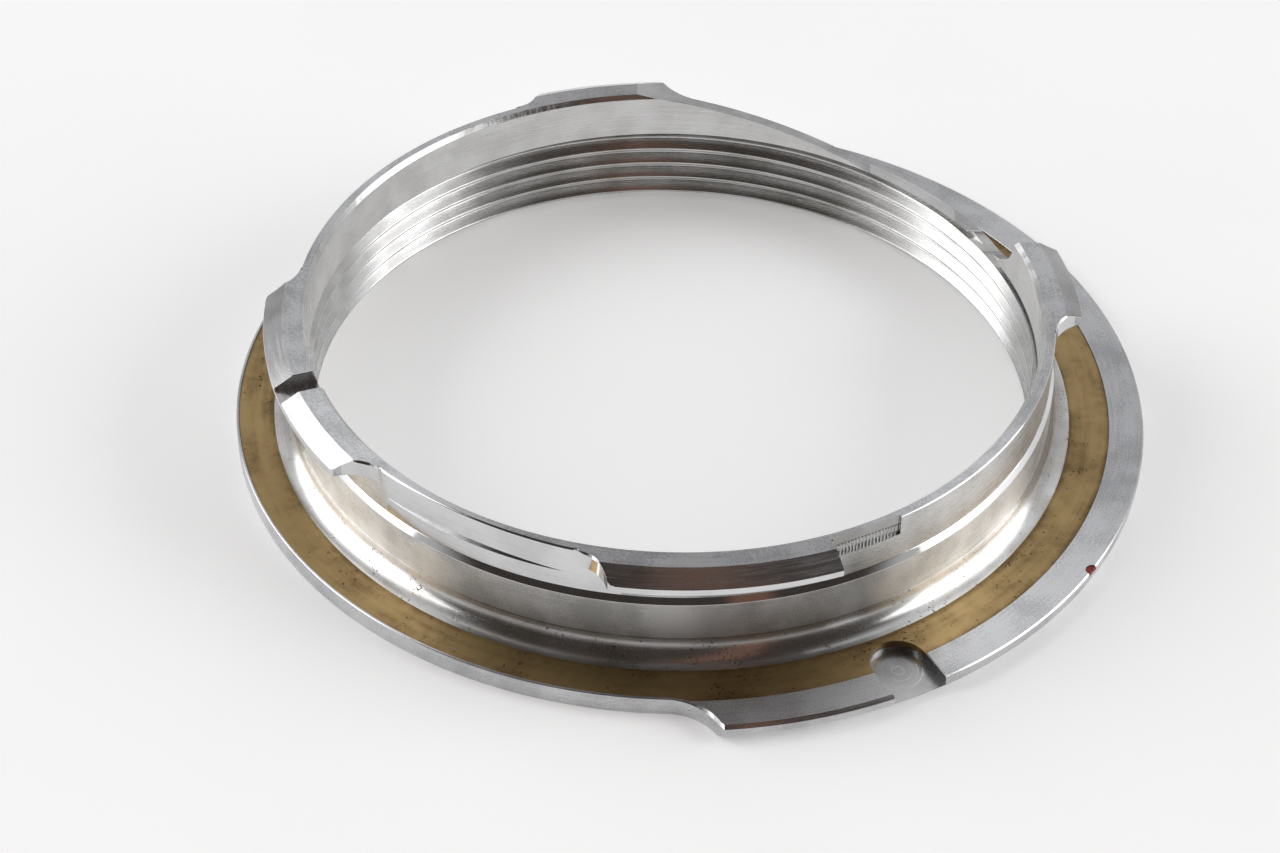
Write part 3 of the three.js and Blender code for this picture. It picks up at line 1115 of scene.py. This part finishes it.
@dataclass
class Barrel:
    """The turned barrel: cove, brushed wall, polished ledge and lens thread, in mm."""

    foot: float = 21.15
    foot_top: float = 0.93
    cove: float = 1.08
    wall: float = 20.05
    wall_top: float = 4.22
    neck: float = 19.85
    top: float = 4.55
    bore: float = 19.15
    pitch: float = 25.4 / 26
    crest: float = 19.0
    root: float = 19.5
    thread_from: float = 0.3
    thread_to: float = 4.16
    entry: float = 19.6
    runout: float = 19.52
    runout_to: float = 4.4
    form: tuple[tuple[float, float], ...] = (
        (0.05, 0.0), (0.09, 0.06), (0.41, 0.94), (0.45, 1.0),
        (0.55, 1.0), (0.59, 0.94), (0.91, 0.06), (0.95, 0.0),
    )
    cutaway: Cutaway = Cutaway()

    def thread_radius(self, phase: float) -> float:
        """Gives the thread's radius at a share of the pitch.

        Args:
            phase: the share of the pitch.

        Returns:
            The radius, mm.
        """
        phases = [p for p, _ in self.form]
        depths = [d for _, d in self.form]
        depth = float(np.interp(phase % 1.0, phases, depths, period=1.0))
        return self.crest + (self.root - self.crest) * depth

    def thread_rows(self, degrees: float) -> Rows:
        """Gives the thread's profile at one angle, from its lower end to its upper end.

        Args:
            degrees: angle about the axis.

        Returns:
            Radius and height pairs, in mm.
        """
        turn = degrees / 360.0
        rows = [(self.thread_radius(-turn), self.thread_from)]
        turns = math.ceil((self.thread_to - self.thread_from) / self.pitch) + 2
        for whole in range(-1, turns):
            for phase, _ in self.form:
                height = self.thread_from + (whole + phase + turn) * self.pitch
                height = max(self.thread_from, min(self.thread_to, height))
                share = (height - self.thread_from) / self.pitch - turn
                rows.append((self.thread_radius(share), height))
        end = (self.thread_to - self.thread_from) / self.pitch - turn
        rows.append((self.thread_radius(end), self.thread_to))
        return rows

    def profile(self, degrees: float) -> Rows:
        """Gives the whole barrel's profile at one angle.

        Args:
            degrees: angle about the axis.

        Returns:
            Radius and height pairs, in mm.
        """
        middle = self.foot_top + self.cove
        return [
            (self.entry + 0.06, 0.0),
            (self.foot, 0.0),
            *arc(self.foot, middle, self.cove, np.linspace(270, 184, 28)),
            (self.wall, middle + 0.06),
            (self.wall, self.wall_top - 0.02),
            (self.wall - 0.012, self.wall_top + 0.006),
            (self.neck + 0.02, self.top - 0.025),
            (self.neck, self.top),
            (self.bore, self.top),
            (self.bore, self.runout_to + 0.05),
            (self.bore + 0.05, self.runout_to),
            (self.runout, self.runout_to),
            (self.runout, self.thread_to),
            *reversed(self.thread_rows(degrees)),
            (self.entry, self.thread_from),
            (self.entry, 0.06),
        ]

    def zones(self, spot: Spot) -> Finish:
        """Picks the barrel's finish at a face.

        Args:
            spot: the face.

        Returns:
            The finish.
        """
        z = spot.place.z
        if spot.normal.z < -0.8 and z < 0.01:
            return LAND
        if spot.outward < 0.0 or spot.radius < 19.5:
            if spot.normal.z > LEVEL and z > self.cutaway.level:
                return MILLED
            return THREAD if z < self.thread_to + 0.01 else BORE
        if z < self.foot_top + self.cove + 0.05:
            return COVE
        if z < self.wall_top and abs(spot.normal.z) < 0.3:
            return SATIN_WALL
        return POLISHED if spot.normal.z < LEVEL else MILLED

    def build(self) -> None:
        """Makes and dresses the barrel, whose two ends are welded where the thread comes round."""
        loops = turned(column_angles(0.0, 360.0, 1.0), self.profile)
        body = loops_to_object("barrel_body", loops, False, False)
        carve(body, [self.cutaway.build()])
        dress(body, "threaded_barrel", self.zones)


# ---- Bayonet ----------------------------------------------------------------------------------


@dataclass(frozen=True)
class LugSpan:
    """The angles between which a lug stands; a round cutter shapes all but a plain stop."""

    piece: str
    node: str
    start: float
    stop: float
    plain_stop: bool = False
    slotted: bool = False
    cut_away: bool = False


@dataclass
class Bayonet:
    """The neck above the ledge and the four lugs that stand out from it; mm and degrees."""

    neck: float = 19.85
    base: float = 4.55
    bore: float = 19.15
    rim_break: float = 0.1
    rim_break_in: float = 0.22
    pocket_break: float = 0.14
    lug: float = 21.40
    underside: float = 6.1
    edge: float = 6.5
    lug_top: float = 20.42
    cutter: float = 2.5
    pocket_angle: float = 240.0
    pocket_half: float = 15.0
    pocket_depth: float = 0.13
    pocket_floor: float = 5.5
    key: SlotCutter = SlotCutter(-159.0, 1.3, 18.0, 23.0, 6.35, TOP, 0.04)
    flat: SlotCutter = SlotCutter(FLAT_ANGLE, 3.8, 19.62, 24.0, 5.95, OVERHEAD, 0.0001)
    spans: tuple[LugSpan, ...] = (
        LugSpan("lug_left", "bayonet_lug_left", 172.6, 224.5, slotted=True),
        LugSpan("lug_front", "bayonet_lug_front", 255.8, 292.4, plain_stop=True),
        LugSpan("lug_right", "bayonet_lug_right", -6.0, 19.0, plain_stop=True, cut_away=True),
        LugSpan("lug_back", "bayonet_lug_back", 86.5, 117.5, cut_away=True),
    )
    cutaway: Cutaway = Cutaway()

    def reach(self, span: LugSpan, degrees: float) -> float:
        """A lug's outer radius at one angle.

        Args:
            span: the lug.
            degrees: the angle.

        Returns:
            The radius in mm, never less than the neck's.
        """
        before = RoundCutter(self.neck, self.cutter, span.start - 12, span.start)
        radius = min(self.lug, before.edge(degrees))
        if not span.plain_stop:
            after = RoundCutter(self.neck, self.cutter, span.stop, span.stop + 12)
            radius = min(radius, after.edge(degrees))
        return max(radius, self.neck)

    def under_lug(self, degrees: float) -> bool:
        """Tells whether a lug stands on the neck at one angle.

        Args:
            degrees: angle about the axis.

        Returns:
            True under a lug.
        """
        for span in self.spans:
            middle = (span.start + span.stop) / 2
            inside = abs(turn_between(middle, degrees)) <= (span.stop - span.start) / 2
            if inside and self.reach(span, degrees) > self.neck + 0.03:
                return True
        return False

    def neck_profile(self, degrees: float) -> Rows:
        """Gives the neck's profile: thinner in the pocket, its top edge eased between lugs.

        Args:
            degrees: angle about the axis.

        Returns:
            Radius and height pairs, in mm.
        """
        share = abs(turn_between(self.pocket_angle, degrees)) / self.pocket_half
        wall = self.neck - self.pocket_depth * max(0.0, 1.0 - share * share)
        ease = 0.001 if self.under_lug(degrees) else self.rim_break
        if ease > 0.01 and share < 1.2:
            ease = self.pocket_break
        inside = self.rim_break_in
        return [
            (self.bore, self.base),
            (self.neck, self.base),
            (self.neck, self.pocket_floor - 0.01),
            (max(wall, self.neck - 0.01), self.pocket_floor),
            (wall, self.pocket_floor),
            *arc(wall - ease, TOP - ease, ease, (0.0, 22.5, 45.0, 67.5, 90.0)),
            (self.bore + inside, TOP),
            (self.bore, TOP - inside),
        ]

    def slope_at(self, radius: float) -> float:
        """Height of the lug's chamfer at a radius."""
        share = max(0.0, (radius - self.lug_top) / (self.lug - self.lug_top))
        return TOP - (TOP - self.edge) * share

    def lug_profile(self, span: LugSpan, degrees: float) -> Rows:
        """Gives a lug's profile, held back by the round cutter.

        Args:
            span: the lug.
            degrees: angle about the axis.

        Returns:
            Radius and height pairs, in mm.
        """
        reach = self.reach(span, degrees)
        fine = min(0.03, (reach - self.neck) / 3)
        ease = self.rim_break if reach < self.lug_top else 0.0
        ease = min(ease, (reach - self.neck) / 2)
        slope = min(TOP - fine, self.slope_at(reach)) - ease
        top = min(self.lug_top, reach - ease)
        return [
            (self.neck, self.underside),
            (reach - fine, self.underside),
            (reach, self.underside + fine),
            (reach, slope - fine),
            (reach - fine * 0.6, slope + fine * 0.2),
            (top + fine * 0.1, TOP - fine * 0.2),
            (top - fine, TOP),
            (self.neck, TOP),
        ]

    def zones(self, spot: Spot) -> Finish:
        """Picks the bayonet's finish at a face.

        Args:
            spot: the face.

        Returns:
            The finish.
        """
        z, normal = spot.place.z, spot.normal
        across = polar(1.0, self.flat.angle)
        if abs(spot.place.dot(across) - self.flat.inner) < 0.02 and normal.dot(across) > 0.98:
            return MILLED_UPRIGHT
        if normal.z > LEVEL:
            return LAND if z > TOP - 0.03 else MILLED
        if normal.z > 0.1 and z < TOP - 0.8 and spot.radius < self.neck + 0.05:
            return MILLED
        if spot.outward < -0.5:
            return BORE
        if normal.z < -0.8 or spot.outward < 0.5:
            return MILLED
        degrees = math.degrees(math.atan2(spot.place.y, spot.place.x))
        past = turn_between(self.pocket_angle, degrees)
        in_pocket = -self.pocket_half < past < self.pocket_half + 8
        if abs(normal.z) < 0.1 and spot.radius < self.neck + 0.02 and not in_pocket:
            return NECK_WALL
        return POLISHED

    def build(self) -> None:
        """Makes and dresses the neck and the lugs."""
        keys = [225.0, 255.0]
        for span in self.spans:
            keys += [span.start, span.stop]
        angles = column_angles(0.0, 360.0, 1.0, keys)[:-1]
        ring = swept("neck_ring", angles, self.neck_profile, True)
        carve(ring, [self.key.build(), self.flat.build(), self.cutaway.build()])
        dress(ring, "bayonet_neck", self.zones)
        for span in self.spans:
            self.build_lug(span)

    def build_lug(self, span: LugSpan) -> None:
        """Makes and dresses one lug.

        Args:
            span: the lug.
        """
        angles = column_angles(span.start, span.stop, 0.5)
        first = next(a for a in angles if self.reach(span, a) > self.neck + 0.004)
        last = next(a for a in reversed(angles) if self.reach(span, a) > self.neck + 0.004)
        angles = [a for a in angles if first <= a <= last]
        lug = swept(span.piece, angles, lambda a: self.lug_profile(span, a), False)
        tools = [self.key.build()] if span.slotted else []
        tools += [self.cutaway.build()] if span.cut_away else []
        if tools:
            carve(lug, tools)
        dress(lug, span.node, self.zones)


# ---- Studio -----------------------------------------------------------------------------------


@dataclass(frozen=True)
class Softbox:
    """A rectangular soft light that looks at the ring; degrees, and metres for the distance."""

    name: str
    azimuth: float
    height: float
    half_wide: float
    half_tall: float
    radiance: float
    distance: float = 0.5

    def build(self) -> None:
        """Hangs the light."""
        lamp = bpy.data.lights.new(self.name, "AREA")
        halves = (math.radians(self.half_wide), math.radians(self.half_tall))
        wide, tall = (2 * self.distance * math.tan(half) for half in halves)
        lamp.shape, lamp.size, lamp.size_y = "RECTANGLE", wide, tall
        lamp.energy = self.radiance * math.pi * wide * tall
        made = linked(self.name, lamp)
        level = math.cos(math.radians(self.height))
        towards = polar(level, self.azimuth) + Vector((0, 0, math.sin(math.radians(self.height))))
        made.location = towards * self.distance
        made.rotation_mode = "QUATERNION"
        made.rotation_quaternion = towards.to_track_quat("Z", "Y")


@dataclass
class Studio:
    """Floor, lights, room and camera; mm and degrees, and metres for the floor's height."""

    softboxes: tuple[Softbox, ...] = (
        Softbox("softbox_left", 175.0, 24.0, 25.5, 23.0, 2.7),
        Softbox("softbox_right", -2.0, 22.0, 20.0, 21.0, 3.4),
    )
    sensor: float = 36.0
    lens: float = 86.603
    distance: float = 163.939
    elevation: float = 40.061
    roll: float = -1.1216
    target: tuple[float, float, float] = (-1.6677, -1.7736, 0.0)
    floor_height: float = -0.00002
    floor_tones: tuple[float, float] = (0.91, 0.885)
    floor_glow: float = 0.24
    wall_tones: tuple[tuple[float, Tone], ...] = (
        (0.0, (0.50, 0.495, 0.49)),
        (0.4, (0.52, 0.52, 0.5252)),
        (0.68, (0.74, 0.74, 0.7474)),
        (1.0, (0.62, 0.62, 0.63)),
    )
    dark_way: tuple[float, float, float] = (0.0, -0.766, 0.643)
    dark_edge: float = 66.0
    dark_full: float = 54.0
    dark_tone: Tone = (0.050, 0.042, 0.037)
    strip_azimuth: float = 21.5
    strip_edge: float = 0.13
    strip_full: float = 0.05
    strip_tone: Tone = (0.19, 0.105, 0.078)

    def floor(self) -> None:
        """A pale floor with a faint mottle."""
        work = bmesh.new()
        bmesh.ops.create_grid(work, x_segments=8, y_segments=8, size=1.5)
        mesh = bpy.data.meshes.new("studio_floor")
        work.to_mesh(mesh)
        work.free()
        ground = linked("studio_floor", mesh)
        ground.location.z = self.floor_height
        wiring = SurfaceWiring("pale_floor")
        cloud = wiring.noise(35.0, 3.0)
        light, dull = ((tone, tone, tone, 1.0) for tone in self.floor_tones)
        tone = wiring.blend(wiring.ramp(cloud, 0.3, 0.7), light, dull)
        wiring.put(Base_Color=tone, Roughness=wiring.ramp(cloud, 0.3, 0.7, 0.55, 0.65))
        wiring.put(Emission_Color=(1.0, 1.0, 1.0, 1.0), Emission_Strength=self.floor_glow)
        mesh.materials.append(wiring.material)

    def room(self) -> None:
        """A pale room, dark round the camera, with a warm strip a little to its right."""
        world = bpy.data.worlds.new("room")
        bpy.context.scene.world = world
        wiring = Wiring(world)
        place = wiring.add("ShaderNodeTexCoord").outputs["Generated"]
        parts, walls = wiring.add("ShaderNodeSeparateXYZ"), wiring.add("ShaderNodeValToRGB")
        wiring.join(place, parts.inputs[0])
        wiring.join(parts.outputs["Z"], walls.inputs[0])
        steps = walls.color_ramp.elements
        for position, _ in self.wall_tones[1:-1]:
            steps.new(position)
        for step, (_, tone) in zip(steps, self.wall_tones):
            step.color = (*tone, 1.0)
        towards = wiring.vector("DOT_PRODUCT", place, self.dark_way).outputs[1]
        edge, full = (math.cos(math.radians(a)) for a in (self.dark_edge, self.dark_full))
        share = wiring.ramp(towards, edge, full)
        aside = wiring.vector("DOT_PRODUCT", place, polar(1.0, self.strip_azimuth)).outputs[1]
        strip = wiring.ramp(wiring.sum("ABSOLUTE", aside), self.strip_edge, self.strip_full)
        tint = wiring.blend(strip, (*self.dark_tone, 1.0), (*self.strip_tone, 1.0))
        tone = wiring.blend(share, walls.outputs[0], tint)
        glow, end = wiring.add("ShaderNodeBackground"), wiring.add("ShaderNodeOutputWorld")
        wiring.join(tone, glow.inputs["Color"])
        wiring.join(glow.outputs[0], end.inputs["Surface"])

    def camera(self) -> None:
        """The camera, looking down on the ring from the front."""
        data = bpy.data.cameras.new("view")
        data.lens, data.sensor_width, data.sensor_fit = self.lens, self.sensor, "HORIZONTAL"
        data.clip_start, data.clip_end = 0.005, 20.0
        made = linked("view", data)
        tilt, roll = math.radians(self.elevation), math.radians(self.roll)
        back = Vector((0, -math.cos(tilt), math.sin(tilt)))
        right = Vector((1, 0, 0))
        up = Vector((0, math.sin(tilt), math.cos(tilt)))
        across = right * math.cos(roll) - up * math.sin(roll)
        above = right * math.sin(roll) + up * math.cos(roll)
        turn = Matrix((across, above, back)).transposed()
        place = (Vector(self.target) + back * self.distance) * MM
        made.matrix_world = Matrix.Translation(place) @ turn.to_4x4()
        bpy.context.scene.camera = made

    def build(self) -> None:
        """Sets the floor, the lights, the room, the camera and the tone scale."""
        self.floor()
        for box in self.softboxes:
            box.build()
        self.room()
        self.camera()
        view = bpy.context.scene.view_settings
        view.view_transform, view.look = "Standard", "None"


def main() -> None:
    """Builds the studio, then every sub-assembly."""
    logging.basicConfig(level=logging.INFO, format="%(name)s: %(message)s", stream=sys.stdout)
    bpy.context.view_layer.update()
    Studio().build()
    for assembly in (Flange(), Barrel(), Bayonet()):
        assembly.build()
        log.info("%s is in place", type(assembly).__name__)


if __name__ == "__main__":
    main()
